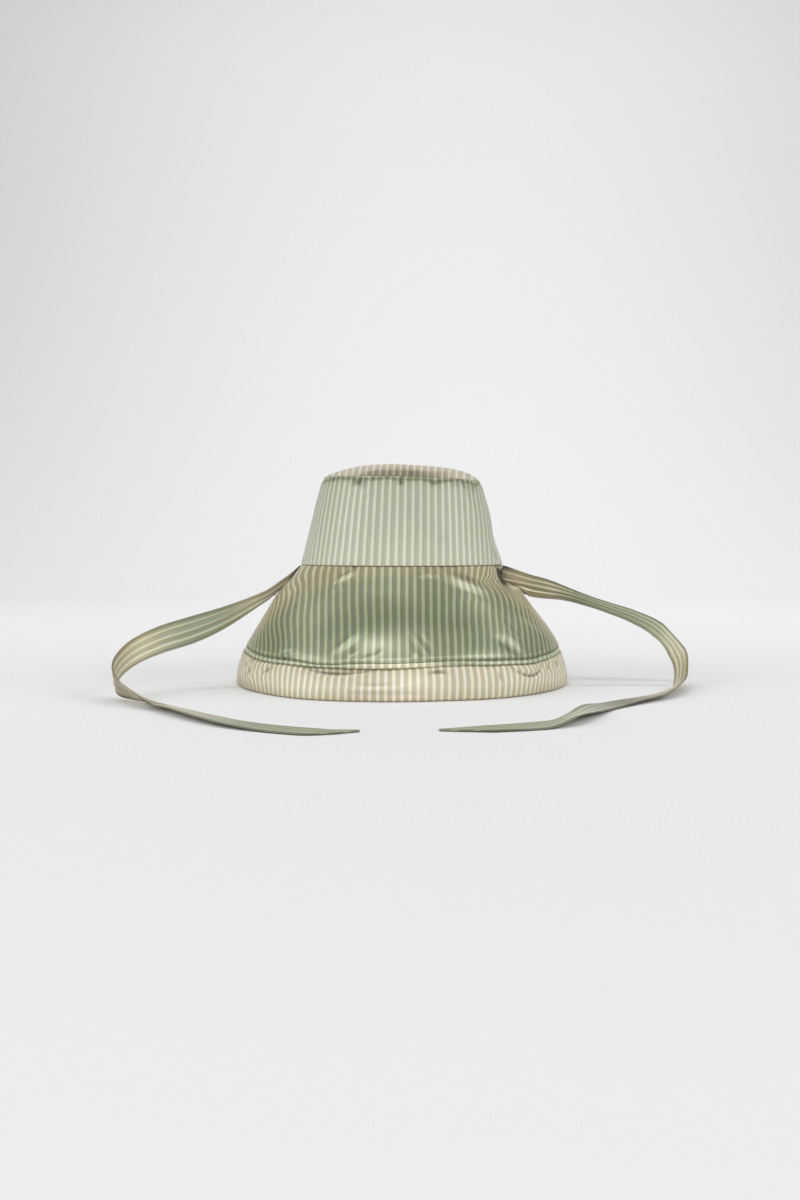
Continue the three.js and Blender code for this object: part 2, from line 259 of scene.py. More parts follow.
class Yarn:
    """One socket of a material. + - * / between yarns and numbers add Math nodes."""

    def __init__(self, tree, socket):
        self.tree, self.socket = tree, socket

    def weave(self, kind, *values, settings={}, named={}, outlet=0):
        """Adds a node of that kind. settings are set first, a ramp's stops among them; values go to its
        inlets in order and named ones by name, and each is a number, a colour or a yarn."""
        node = self.tree.nodes.new("ShaderNode" + kind)
        for key, value in settings.items():
            if key != "stops":
                setattr(node, key, value)
                continue
            steps = node.color_ramp.elements
            while len(steps) < len(value):
                steps.new(1.0)
            for step, (position, colour) in zip(steps, value):
                step.position, step.color = position, colour
        inlets = [s for s in node.inputs if s.enabled]
        for key, value in [*enumerate(values), *named.items()]:
            inlet = inlets[key] if isinstance(key, int) else node.inputs[key]
            if isinstance(value, Yarn):
                self.tree.links.new(value.socket, inlet)
            else:
                inlet.default_value = value
        return Yarn(self.tree, [s for s in node.outputs if s.enabled][outlet])

    def maths(self, operation, *values):
        """Adds a Math node with that operation."""
        return self.weave("Math", *values, settings={"operation": operation})

    __add__ = lambda self, other: self.maths("ADD", self, other)
    __radd__ = lambda self, other: self.maths("ADD", other, self)
    __sub__ = lambda self, other: self.maths("SUBTRACT", self, other)
    __rsub__ = lambda self, other: self.maths("SUBTRACT", other, self)
    __mul__ = lambda self, other: self.maths("MULTIPLY", self, other)
    __rmul__ = lambda self, other: self.maths("MULTIPLY", other, self)
    __truediv__ = lambda self, other: self.maths("DIVIDE", self, other)

    def eased(self, low, high, start=0.0, stop=1.0):
        """start where the yarn is below low, stop where it is above high, and a smooth step between."""
        smooth = {"interpolation_type": "SMOOTHSTEP"}
        return self.weave("MapRange", self, low, high, start, stop, settings=smooth)

    def blend(self, one, other, mode="MIX"):
        """A mix of two colours, with this yarn as the second one's share."""
        return self.weave("Mix", self, one, other, settings={"data_type": "RGBA", "blend_type": mode})


def dye(red, green, blue):
    """A colour of a dye chart, 0 to 255 a channel in display values, as linear light."""
    channels = [c / 255 for c in (red, green, blue)]
    return (*[c / 12.92 if c <= 0.04045 else ((c + 0.055) / 1.055) ** 2.4 for c in channels], 1.0)


# warm and cool tints of the weave's ground, the reverse's grey, the white of the painted highlight, and the
# brown of the painted shade at the bottom of a fold
WARM_GLOW, COOL_GLOW = (0.78, 0.66, 0.50, 1.0), (0.44, 0.51, 0.46, 1.0)
REVERSE_GREY, PAINTED_HIGHLIGHT_WHITE, PAINTED_SHADE_BROWN = dye(158, 150, 134), dye(240, 240, 236), dye(96, 68, 44)


def striped_satin(name, dye_and_shade, period=6.8, first=0.0, stripe=2.6, dull=0.0, gloss=1.0):
    """Satin with a pale stripe, stripe millimetres wide, every period. The stops of the dip-dye, millimetres
    along the flat cloth, give the ground's colour and the pale stripe's colour there; the crown's, the tip's
    and the ties' stops hold painted shade as well as dye. first is the place across the cloth of one pale
    stripe's middle. dull, 0 to 1, greys and roughens it, as on the cloth's reverse. gloss, 0 to 1, is its
    shine. Lengths on the flat cloth are in metres, and the weave's own are in millimetres."""
    material = bpy.data.materials.new(name)
    material.use_nodes = True
    tree = material.node_tree
    shader = tree.nodes["Principled BSDF"]
    loom = Yarn(tree, None)
    flat = loom.weave("UVMap", settings={"uv_map": "flat cloth"})
    across, length = (loom.weave("SeparateXYZ", flat, outlet=n) * 1000.0 for n in (0, 1))
    wander = loom.weave("TexNoise", flat, named={"Scale": 9.0, "Detail": 1.0}) - 0.5
    placed = across - first + wander * 0.5
    pale_share = loom.maths("PINGPONG", placed, period / 2).eased(stripe / 2 + 0.3, stripe / 2 - 0.3)
    right_half = loom.maths("WRAP", placed, period, 0.0).eased(period / 2 - 0.5, period / 2 + 0.5)
    start, span = dye_and_shade[0][0], dye_and_shade[-1][0] - dye_and_shade[0][0]
    mottle = loom.weave("TexNoise", flat, named={"Scale": 45.0, "Detail": 3.0}) - 0.5
    dipped = (length - start + mottle * 9.0) / span
    ground_stops, pale_stops = ([((row[0] - start) / span, row[n]) for row in dye_and_shade] for n in (1, 2))
    ground = loom.weave("ValToRGB", dipped, settings={"stops": ground_stops})
    pale = loom.weave("ValToRGB", dipped, settings={"stops": pale_stops})
    ground = (right_half * 0.3).blend(ground, WARM_GLOW, "SOFT_LIGHT")
    colour = pale_share.blend(ground, pale)
    drift = loom.weave("TexNoise", flat, named={"Scale": 30.0, "Detail": 2.0}).eased(0.35, 0.65)
    colour = (drift * 0.35).blend(colour, COOL_GLOW, "SOFT_LIGHT")
    if dull:
        colour = loom.weave("Mix", dull, colour, REVERSE_GREY, settings={"data_type": "RGBA"})
    # The piece's attribute paints light and shade into the colour. Above 0 it is painted shade, which darkens
    # the cloth and, past 1, browns it. Below 0 it is a painted highlight, which whitens and brightens it.
    painted_attribute = loom.weave("Attribute", settings={"attribute_name": "valley"}, outlet=2)
    valley, painted_highlight = painted_attribute.maths("MAXIMUM", painted_attribute, 0.0), painted_attribute.maths("MAXIMUM", painted_attribute * -1.0, 0.0)
    colour = (painted_highlight * 0.12).blend(colour, PAINTED_HIGHLIGHT_WHITE, "SCREEN")
    painted_shade_amount = valley.maths("MAXIMUM", valley - 1.0, 0.0)
    colour = (painted_shade_amount * 0.6).blend(colour, PAINTED_SHADE_BROWN)
    stretched = loom.weave("Mapping", flat, named={"Scale": (5200.0, 160.0, 1.0)})
    threads = loom.weave("TexNoise", stretched, named={"Scale": 1.0, "Detail": 2.0}) - 0.5
    # The weave's threads and mottle vary the colour, and the painted shade and painted highlight scale it.
    shade = 1.0 + threads * 0.2 + mottle * 0.12 - valley * 0.4 + painted_highlight * 0.6
    colour = loom.weave("VectorMath", colour, named={"Scale": shade}, settings={"operation": "SCALE"})
    rumple = loom.weave("TexNoise", flat, named={"Scale": 55.0, "Detail": 2.0}) - 0.5
    height = pale_share * 0.05 + threads * 0.035 + rumple * 0.55
    bump = loom.weave("Bump", named={"Strength": 0.7, "Distance": 0.001, "Height": height})
    roughness = (0.5 + 0.1 * dull - 0.1 * gloss) + pale_share * -0.05 + threads * 0.1 + valley * 0.2
    tree.links.new(colour.socket, shader.inputs["Base Color"])
    tree.links.new(roughness.socket, shader.inputs["Roughness"])
    tree.links.new(bump.socket, shader.inputs["Normal"])
    shader.inputs["Metallic"].default_value = 0.15 * gloss * (1 - dull)
    shader.inputs["Specular IOR Level"].default_value = 0.3 + 0.3 * gloss * (1 - dull)
    return material


def both_sides(name, dye_and_shade, gloss=1.0, **stripes):
    """The satins of a cloth's face and of its duller reverse."""
    return [striped_satin(name + " satin", dye_and_shade, gloss=gloss, **stripes),
            striped_satin(name + " satin reverse", dye_and_shade, dull=0.6, **stripes)]


# The ribbons' dyes, each as its ground and its pale stripe. The umber at the roots is painted shade of the
# side seam, and the darker olive, moss and dun stretches are partly dye and partly painted shade.
ROOT_SHADE_UMBER = dye(90, 78, 56), dye(146, 134, 106)
WHEAT = dye(160, 148, 116), dye(238, 226, 196)
SAND = dye(178, 170, 148), dye(220, 213, 191)
TAN = dye(164, 153, 126), dye(202, 195, 170)
DUN = dye(132, 126, 106), dye(172, 167, 147)
SAGE = dye(155, 162, 139), dye(206, 210, 188)
MOSS = dye(134, 138, 114), dye(178, 181, 154)
OLIVE = dye(100, 104, 76), dye(152, 155, 126)
# run along the ribbon, and the dye there, with painted shade in the darker stops
TIE_DYES_AND_SHADE = {
    "tie_left": [(-8, *ROOT_SHADE_UMBER), (20, *SAND), (100, *SAGE), (200, *TAN), (320, *SAND), (430, *MOSS),
                 (540, *SAGE)],
    "tie_right": [(-8, *ROOT_SHADE_UMBER), (20, *WHEAT), (75, *OLIVE), (150, *MOSS), (220, *TAN), (330, *DUN),
                  (440, *MOSS), (600, *SAGE)]}
# run, spread, and the painted shade where the ribbon rolls over, less than 0 for a painted highlight where it
# catches the light
TIE_ROLL_PAINTED_SHADE = {
    "tie_left": [(42, 22, -0.6), (160, 30, -0.8), (230, 12, 0.5), (262, 14, -0.6), (292, 10, 1.0)],
    "tie_right": [(180, 28, -0.5), (270, 28, -0.5), (345, 26, 0.6), (440, 34, -0.5)]}


def tie_grid(root, standoff, foot, route, steps=440, strands=26, traces=6001):
    """The length run at each step, the tie's length, how much of its width is kept at each step, each
    strand's share of the width, the sheet's points, the way that they face, and the sheet's middle. The
    middle is a spline through the route, evenly spaced in length. The width lies turn degrees off the
    upright. The root is seated up the seam and eases into the free ribbon, and the end narrows to a point."""
    def seat(share):
        height = foot + (TIE_SEAM_TOP - foot) * share
        relief = soft_relief([*BRIM_FOLDS, *TIE_POCKETS], root, height)
        return place(root, brim_radius(height) + standoff + relief, height)

    rows = np.array(route, float)
    x, y, low, turn, wide = rows.T
    standing, lying = np.abs(np.cos(np.radians(turn))), np.abs(np.sin(np.radians(turn)))
    middles = np.stack([x, y, low + wide / 2 * standing + TIE_LYING_HEIGHT * lying], -1)
    anchors = np.vstack([seat(np.array(0.5)), middles])
    shape = np.vstack([rows[:1], rows])[:, 3:]
    fine = np.linspace(0, len(anchors) - 1, traces)
    traced = spline(anchors, fine)
    run_fine = np.concatenate([[0], np.cumsum(np.linalg.norm(np.diff(traced, axis=0), axis=1))])
    length = run_fine[-1]
    run = np.linspace(0, length, steps)
    where = np.interp(run, run_fine, fine)
    middle = spline(anchors, where)
    along = unit(spline(anchors, where + 1e-3) - spline(anchors, where - 1e-3))
    turn, width = spline(shape, where).T
    turn = np.radians(turn)
    up = unit(np.array([0.0, 0.0, 1.0]) - along * along[:, 2:])
    across = up * np.cos(turn)[:, None] + np.cross(along, up) * np.sin(turn)[:, None]
    tip_share = TIE_POINT_WIDTH / width
    kept = tip_share + (1 - tip_share) * np.clip((length - run) / TIE_POINT_LENGTH, 0, 1)
    centre = middle - across * (TIE_POINT_ASIDE * (1 - kept) * width)[:, None]
    share = (1 - np.cos(np.linspace(0, math.pi, strands))) / 2  # closer together at the edges
    free = centre[:, None] + across[:, None] * ((width * kept)[:, None] * (share - 0.5))[..., None]
    sewn = seat(share)[None] + along[:, None] * run[:, None, None]
    opened = smoothstep(run, 0, TIE_OPENS_OVER)[:, None, None]
    sheet = sewn * (1 - opened) + free * opened
    facing = unit(np.cross(along[:, None], unit(sheet[:, -1:] - sheet[:, :1])))
    return run, length, kept, share, sheet, facing * np.sign(root), middle


for tie_name, (root, standoff, foot, route) in TIE_ROUTES.items():
    run, length, kept, share, sheet, facing, middle = tie_grid(root, standoff, foot, route)
    # Gathers fan out from the root and fade along the ribbon, and a slight fold keeps on to its end. They are
    # flat at the edges and at the very root, and almost flat where the ribbon lies on the surface.
    gather = TIE_GATHER_DEPTH * np.exp(-run / TIE_GATHER_FADE) + TIE_FOLD_DEPTH
    drift = TIE_GATHER_START + TIE_GATHER_DRIFT * run[:, None]
    fold = np.cos(2 * math.pi * (share[None] * TIE_GATHERS + drift))
    fold = fold * np.sin(math.pi * share)[None] ** 0.6 * gather[:, None] * smoothstep(run, 0, 12)[:, None]
    fold *= smoothstep(sheet[..., 2], 1.0, 9.0) * 0.85 + 0.15
    sheet = sheet + facing * fold[..., None]
    edge = 1 - 0.35 * (2 * np.abs(share - 0.5)) ** 8
    half = facing * (TIE_THICKNESS / 2 * edge)[None, :, None]
    face, reverse = sheet + half, sheet - half
    lowest = np.minimum(face[..., 2:], reverse[..., 2:])
    lift = np.maximum(TIE_FLOOR_GAP - lowest, 0) * np.array([0, 0, 1.0])
    offset = ((share[None] - 0.5) * kept[:, None] - TIE_POINT_ASIDE * (1 - kept[:, None])) * TIE_WIDTH
    dyed_at = np.broadcast_to(run[:, None] + TIE_HIDDEN[tie_name], offset.shape)
    cut = np.stack([offset, dyed_at], -1) * 0.001
    # Painted shade lies in the gathers' troughs and at the root, in the seam's shade, and the narrow turned
    # edges are darker; the rolls add painted shade and painted highlight.
    valley = smoothstep(-fold, 0.2, 1.8) + 0.9 * np.exp(-(run[:, None] / 6) ** 2)
    valley = valley + smoothstep(np.abs(share - 0.5), 0.405, 0.44)
    for at, spread, painted_shade_amount in TIE_ROLL_PAINTED_SHADE[tie_name]:
        valley = valley + painted_shade_amount * np.exp(-((run[:, None] - at) / spread) ** 2)
    valley = np.minimum(valley, 1.6)
    dye_and_shade = TIE_DYES_AND_SHADE[tie_name]
    satins = [striped_satin(tie_name + " satin", dye_and_shade, first=0.7, stripe=2.1),
              striped_satin(tie_name + " satin reverse", dye_and_shade, first=0.7, stripe=2.0, dull=0.25)]
    rings = hemmed(face + lift, reverse + lift, TIE_LIP, TIE_LIP)
    tie = cloth_piece("chin_" + tie_name, rings, ring_pattern(cut), ring_shade(valley), False, True, satins)
    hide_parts(tie_name)
    print(tie_name, "length", round(float(length), 1), "mm")


# Hem band. A cream band of the same satin edges the brim and stands on the surface. Its foot is a turned
# fold, and its top is sewn to the brim along a seam that climbs a little at the two side seams.
CLOTH = 2.0
SEAM_GAP, SEAM_LIP, FOOT_LIP = 0.15, 0.12, 0.9
BRIM_EDGE_RADIUS, BAND_SWELL, BAND_SLOPE = 152.2, 1.6, 0.17
# the height of its turned foot, and the flat band's own height and radius
BAND_FOOT, BAND_HEIGHT, BAND_CUT_RADIUS = 1.0, 26.0, 150.0
BAND_COLUMNS, BAND_ROWS = 960, 44
# angle round from the front, spread, height, how tall, how far out
BAND_FOLDS = np.array([
    (-58, 10, 12, 11, 1.2), (-20, 14, 20, 8, -1.3), (-4, 12, 8, 8, -1.1), (40, 12, 11, 11, 1),
    (58, 9, 22, 6, -1.8), (120, 14, 11, 11, 1.2), (170, 14, 12, 11, -1.2), (225, 14, 11, 11, 1.2),
    (-31, 17, 0, 14, 5), (13, 11, 0, 12, -3)])
# the same for the level folds, and how they bend
BAND_LEVEL_FOLDS = [
    (-22, 12, 21.2, 1.7, -1.7, 0.025), (-21, 10, 17.5, 2.4, 0.9, 0.03), (-8, 7, 13.5, 2.4, -0.9, 0.02),
    (11.5, 3.4, 23.4, 2.0, -1.9, -0.1), (47, 8.5, 16.0, 1.5, -2.0, 0.1), (46, 6, 20.5, 2.0, 0.9, 0.08),
    (-12, 9, 9.5, 1.8, 0.8, 0.02), (-4, 12, 6.5, 2.2, -0.7, 0.0)]
# angle, height, half length, half width, tilt from upright towards +X in degrees, how far out
BAND_CREASES = np.array([
    (32.5, 18.5, 5, 1.2, 165, -1.2), (30.8, 18.5, 5, 1.4, 165, 0.7), (-50, 20, 9, 2.6, 66, -1.4),
    (-62, 17, 9, 2.8, 50, -1.3), (-58, 13, 9, 2.6, 56, 1.1), (78, 16, 9, 2.2, -30, -0.9),
    (58.5, 19, 7, 1.5, 60, -1.3), (67, 22, 8, 1.7, -35, -1.3), (63, 25, 6, 1.6, 60, 0.8),
    (-62, 25.5, 5, 1.4, 60, -1.2), (-67, 22, 6, 1.5, 40, -1.1), (-59, 22, 6, 1.5, 70, 0.8)])
# angle, spread, height, how tall, how far the stripes are drawn towards -X
BAND_PULLS = [(-50, 20, 0, 16, -9.0), (56, 18, 0, 16, 9.0), (47, 6, 20, 6, -3.0)]
# the same, but the painted shade: how deep the cloth looks, less than 0 where it is painted lighter
BAND_SHADES = [
    (3, 11, 14, 12, -0.2), (-62, 22, 0, 8, 0.55), (54, 14, 0, 7, 0.45), (-24, 11, 22.5, 3.4, 0.42),
    (-14, 10, 4, 6, 0.28)]
# angle, spread, how far the hem seam wanders up there
HEM_WANDER = [(17, 14, 1.6), (-55, 12, -1.0), (-28, 12, -0.6), (49, 8, -1.2), (130, 14, 0.8), (215, 16, -0.8)]


def hem_height(degrees):
    """The seam's height at the front, and its rise at the side seams by the eighth power of the sine, with a
    bell for each wander."""
    up = HEM_SEAM_HEIGHT + HEM_SIDE_RISE * np.sin(np.radians(degrees)) ** 8
    return up + sum(rise * np.exp(-(turned(degrees, at) / spread) ** 2) for at, spread, rise in HEM_WANDER)


def band_radius(height):
    """A straight flare with a swell of one arch of a sine."""
    share = height / HEM_SEAM_HEIGHT
    swell = BAND_SWELL * np.sin(math.pi * np.minimum(share, 1))
    return BRIM_EDGE_RADIUS + (HEM_SEAM_RADIUS - BRIM_EDGE_RADIUS) * share + swell


def creases(table, degrees, height, radius, slope=1.0):
    """The sum of long bells, out times e to the minus (along / length)^2 + (across / width)^2, with along
    measured up the cloth and turned by the tilt. slope is millimetres of cloth for one of height."""
    out = np.zeros(np.broadcast(degrees, height).shape)
    for at, middle, length, width, tilt, rise in table:
        right = np.radians(turned(degrees, at)) * radius
        upward = (height - middle) * slope
        c, s = math.cos(math.radians(tilt)), math.sin(math.radians(tilt))
        along, across = right * s + upward * c, right * c - upward * s
        out += rise * np.exp(-(along / length) ** 2 - (across / width) ** 2)
    return out


def puckers(degrees, seed, finest=90):
    """Small gathers along a seam, about -1 to 1: five sines of whole numbers of waves round the hat, up to
    finest, with seeded phases, and two slower ones that make them come and go."""
    draw = np.random.default_rng(seed)
    angle = np.radians(degrees)
    waves = np.linspace(0.45, 1.0, 5) * finest
    total = sum(np.sin(round(n) * angle + draw.uniform(0, 6.28)) for n in waves) / 3.0
    slow = np.sin(7 * angle + draw.uniform(0, 6.28)) + np.sin(11 * angle + draw.uniform(0, 6.28))
    return total * (0.6 + 0.25 * slow)


def wall_grid(degrees, levels, outside, slope):
    """The face at radius outside and the reverse one cloth's thickness inside it, measured
    square to the slope."""
    inside = outside - CLOTH * np.hypot(1.0, slope)
    return place(degrees, outside, levels), place(degrees, inside, levels)


def spaced(count, low, high, crowd=0.35):
    """Shares from low to high, closer together at both ends: each is less crowd times the sine of its full
    turn, over 2 pi."""
    share = np.linspace(0, 1, count)
    return low + (high - low) * (share - crowd * np.sin(2 * math.pi * share) / (2 * math.pi))


columns = np.linspace(0, 360, BAND_COLUMNS + 1)[:-1]
around = columns[:, None]
share = spaced(BAND_ROWS, 0, 1)[None]
top = hem_height(around) - SEAM_GAP
level = BAND_FOOT + (top - BAND_FOOT) * share
to_seam = top - level
radius = band_radius(level)
fine = creases(BAND_CREASES, around, level, radius) + soft_relief(BAND_LEVEL_FOLDS, around, level)
fine += 0.32 * puckers(around, 3) * np.exp(-to_seam / 7) + 0.12 * puckers(around, 5, 60)
fine -= 1.1 * np.exp(-(to_seam / 1.3) ** 2) + 0.9 * (1 - smoothstep(level, 0.6, 3.0)) ** 2
outside = radius + soft_relief(BAND_FOLDS, around, level) + fine
face, reverse = wall_grid(around, level, outside, BAND_SLOPE)
full_turn = np.append(columns, 360.0)[:, None]
cut_up = share * BAND_HEIGHT
cut_across = np.radians(full_turn) * BAND_CUT_RADIUS + soft_relief(BAND_PULLS, full_turn, cut_up)
cut = np.stack([cut_across, np.broadcast_to(cut_up, cut_across.shape)], -1) * 0.001
# Painted shade lies in the creases and the seam's groove, and a painted highlight where folds face up, both
# fading out at the turned foot; the listed bells add painted shade.
valley = (1.5 * smoothstep(-fine, 0.2, 2.2) - 0.4 * painted_sheen_mask(fine, level, 0.1, 0.8)) * smoothstep(level, 1, 4)
valley += soft_relief(BAND_SHADES, around, level)
BAND_DIP = [
    (0, dye(180, 168, 140), dye(220, 212, 188)), (10, dye(190, 184, 161), dye(228, 224, 205)),
    (24, dye(182, 173, 148), dye(222, 218, 196)), (26, dye(154, 145, 116), dye(206, 200, 174))]
BAND_SATINS = both_sides("band", BAND_DIP, gloss=0.4, period=6.5)
band = cloth_piece("hem_band", hemmed(face, reverse, FOOT_LIP, SEAM_LIP), ring_pattern(cut),
                   ring_shade(valley), True, True, BAND_SATINS)
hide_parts("brim_band")

# Brim. Two shaped panels of sage satin, shading to tan towards the crown, are joined by a seam at each side.
# The cloth flares to the hem in soft folds, and is drawn in where the ties are caught in the side seams.
BRIM_ANGLE = 0.462  # sine of the half angle of the cone that the stripes are laid on, slimmer than the brim
BRIM_SLOPE = 1.25  # about how many millimetres of cloth make one of height
BRIM_DYE_BOW = 0.0016
TIE_SHADE_FOOT = 80  # the roots' shade on the side seams begins at this height
BRIM_COLUMNS, BRIM_ROWS = 401, 88
# angle, height, half length, half width, tilt from upright towards +X in degrees, how far out
BRIM_CREASES = np.array([
    (-21, 46.5, 11, 3.0, 36, -1.4), (-17.8, 43, 9, 3.0, 36, 0.9), (-16.2, 38.6, 3.5, 1.4, 40, -0.9),
    (-8, 38, 4, 1.8, 30, -0.8), (-11.3, 35.4, 3.5, 1.5, 60, -0.8), (7.2, 44.5, 9, 1.9, -22, -1.5),
    (4.4, 45, 9, 2.4, -20, 0.9), (4.4, 34.8, 3, 2.2, 0, 0.8), (28.5, 36.8, 16, 1.9, 91, -0.5),
    (28.5, 33.8, 16, 2.0, 91, 0.6), (-43, 36, 9, 2.6, 76, 1.0), (-43, 31, 9, 2.4, 76, -0.9),
    (43.5, 42.5, 9, 3.6, -40, 0.9), (38.5, 41, 9, 3.4, -40, -0.6), (46, 56, 16, 5.0, -30, -0.9),
    (-30.8, 101.4, 12, 4.0, 52, -1.4), (-27.4, 95, 12, 4.0, 52, 1.4), (9, 101, 4, 1.7, -34, -1.0),
    (12.6, 98, 4, 1.8, -40, 0.9), (14, 102, 4, 1.7, -40, -0.9), (17, 98, 4, 1.8, -30, 0.8),
    (34.2, 97.0, 20, 6.4, 118, -1.9), (30.6, 84.5, 20, 7.0, 118, 2.1), (-60, 88, 13, 5, 20, -0.5),
    (-50, 84, 14, 5, 16, 0.8), (66, 70, 18, 5, -52, 0.8), (60, 62, 18, 5, -46, -0.7),
    (61.5, 97, 11, 4.5, 35, -2.0), (120, 92, 12, 5, 70, 1.2), (150, 88, 20, 5, 80, -1.0),
    (205, 90, 20, 5, 96, 1.2), (236, 86, 16, 5, 110, -1.2), (140, 40, 14, 5, 60, 1.0),
    (176, 42, 14, 5, 84, -1.0), (200, 40, 13, 5, 40, 1.0), (228, 42, 13, 5, -36, 1.0)])
# angle, spread, height, how tall, how far the stripes are drawn towards -X
BRIM_PULLS = np.array([
    (-60, 14, 59, 17, 8.5), (-64, 16, 100, 13, 7), (-85, 20, 92, 32, 26), (-48, 32, 82, 50, 6),
    (50, 7, 94, 3.5, 11.5), (39, 5.5, 45, 5.5, 1.8), (28, 9, 32, 16, 2.8), (56, 11, 95, 42, -9.5),
    (76, 22, 96, 12, 40), (97, 25, 44, 40, -13), (-96, 26, 40, 40, 12)])
# as the creases, but the painted highlight where the cloth is lightened, or, below 0, the painted shade where
# it looks deep
BRIM_SHADES = [
    (32.5, 90.5, 17, 6.5, 116, 0.6), (-19.5, 45, 9, 4, 36, 0.6), (-9, 46, 15, 6.5, 90, 0.5),
    (-29, 98, 8, 4, 52, 0.3), (63, 97, 12, 5.6, 33, -2.8), (-62, 85, 8, 5, 30, 0.25),
    (43, 42.4, 10, 4.4, -36, 0.8), (38, 48.8, 7, 3.6, -76, 0.7), (39, 39.5, 8, 2.8, -50, -0.8),
    (24.5, 48, 12, 7, 90, -0.15), (28.5, 35.2, 20, 2.4, 90, 0.6), (8.3, 48.5, 7, 1.8, -30, 0.6),
    (8.6, 41, 6, 1.6, -24, -0.4), (-33, 33.5, 22, 3.2, 95, 0.6), (42, 62, 30, 24, 0, 0.28),
    (-44, 62, 30, 24, 0, 0.3)]
STITCH_RISE, STITCH_DROP, STITCH_DROP_AT, STITCH_DROP_SPREAD = 4.1, 1.9, -27, 9


def stitch_rise(degrees):
    """How far the topstitching is above the hem seam, less by a bell at one place to the left of the
    front."""
    return STITCH_RISE - STITCH_DROP * np.exp(-(turned(degrees, STITCH_DROP_AT) / STITCH_DROP_SPREAD) ** 2)


def brim_relief(degrees, height):
    """The brim's fine folds: creases, the gathers along both seams, and the grooves of seams and stitching,
    in which the cloth is drawn in by e to the minus (distance / width)^2."""
    radius = brim_radius(height)
    up_to_crown = CROWN_SEAM_HEIGHT - SEAM_GAP - height
    over_hem = height - hem_height(degrees)
    over_stitch = over_hem - stitch_rise(degrees)
    out = creases(BRIM_CREASES, degrees, height, radius, BRIM_SLOPE)
    out += soft_relief(TIE_POCKETS, degrees, height)
    out += 0.38 * puckers(degrees, 11, 70) * np.exp(-up_to_crown / 9)
    out += 0.42 * puckers(degrees, 12, 84) * np.exp(-np.abs(over_stitch) / 6)
    out += 0.16 * puckers(degrees, 13, 44)
    out -= 0.6 * np.exp(-(up_to_crown / 0.9) ** 2) + 1.0 * np.exp(-(over_hem / 1.0) ** 2)
    out -= 0.9 * np.exp(-(over_stitch / 0.7) ** 2) - 0.4 * np.exp(-((over_stitch - 2.2) / 1.2) ** 2)
    return out


def brim_cut(degrees, height):
    """The panel rolled flat from a cone: radius / sine of the half angle, turned by sine of the half angle
    times the angle from the panel's middle, with the stripes drawn aside where the cloth is pulled. The
    dip-dye's lines bow towards the crown by the bow times the square of the place across."""
    reach = brim_radius(height) / BRIM_ANGLE
    from_middle = turned(degrees, 0) if abs(degrees).max() < 100 else degrees - 180
    angle = np.radians(from_middle) * BRIM_ANGLE
    pull = soft_relief(BRIM_PULLS, degrees, height)
    across = reach * np.sin(angle)
    return np.stack([across + pull, BRIM_DYE_BOW * across ** 2 - reach * np.cos(angle)], -1) * 0.001


# up the flat panel, the ground's dye there, and the pale stripe's
BRIM_DIP = [
    (-330, dye(176, 170, 140), dye(220, 214, 190)), (-316, dye(174, 170, 140), dye(218, 213, 190)),
    (-310, dye(122, 129, 102), dye(172, 176, 149)), (-272, dye(102, 110, 84), dye(150, 156, 125)),
    (-222, dye(112, 120, 92), dye(162, 167, 135)), (-195, dye(143, 134, 105), dye(191, 181, 146)),
    (-180, dye(150, 141, 111), dye(205, 196, 161)), (-100, dye(155, 146, 113), dye(209, 201, 166))]
BRIM_SATINS = both_sides("brim", BRIM_DIP, period=6.75, first=4.6)
seam_angle = math.degrees(SEAM_GAP / BRIM_TOP_RADIUS)
for panel, first_side in (("brim_front", -90.0), ("brim_back", 90.0)):
    columns = spaced(BRIM_COLUMNS, first_side + seam_angle, first_side + 180 - seam_angle, 0.5)
    around = columns[:, None]
    foot = hem_height(around)
    level = foot + (CROWN_SEAM_HEIGHT - SEAM_GAP - foot) * spaced(BRIM_ROWS, 0, 1, 0.6)[None]
    side_seam = np.radians(90 - np.abs(turned(around, first_side + 90))) * brim_radius(level)
    fine = brim_relief(around, level) - 0.9 * np.exp(-(side_seam / 1.2) ** 2)
    slope = brim_radius(level + 0.5) - brim_radius(level - 0.5)
    soft = soft_relief(BRIM_FOLDS, around, level)
    outside = brim_radius(level) + soft + fine
    face, reverse = wall_grid(around, level, outside, slope)
    cut = brim_cut(np.broadcast_to(around, level.shape), level)
    # Painted shade darkens the cloth in folds, in the crown's seam, in the ties' hollows and beside their
    # roots, and in the topstitching's groove at the sides; a painted highlight lightens it where folds turn
    # it face up, in the listed patches, and along the ridge where the seam's allowance fills it out, towards
    # the sides above all.
    valley = smoothstep(-fine, 0.2, 2.2) + 0.15 * smoothstep(-soft, 0.2, 2.6)
    valley -= 0.7 * painted_sheen_mask(soft + fine, level, 0.04, 0.4)
    valley -= creases(BRIM_SHADES, around, level, brim_radius(level), BRIM_SLOPE)
    valley += 1.3 * np.exp(-((CROWN_SEAM_HEIGHT - level) / 1.1) ** 2)
    to_side = smoothstep(np.abs(turned(around, first_side + 90)), 18, 34)
    allowance = smoothstep(level - foot, 0.6, 1.3) * (1 - smoothstep(level - foot, 2.6, 3.4))
    valley -= (0.35 + 0.5 * to_side) * allowance
    valley += 0.5 * to_side * np.exp(-((level - foot - stitch_rise(around) - 0.5) / 1.3) ** 2)
    valley += smoothstep(-soft_relief(TIE_POCKETS, around, level), 0.5, 6)
    valley += 0.8 * np.exp(-(side_seam / 5) ** 2) * (level > TIE_SHADE_FOOT)
    piece = cloth_piece(panel + "_panel", hemmed(face, reverse, SEAM_LIP, SEAM_LIP), ring_pattern(cut),
                        ring_shade(valley), False, True, BRIM_SATINS)
    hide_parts(panel)

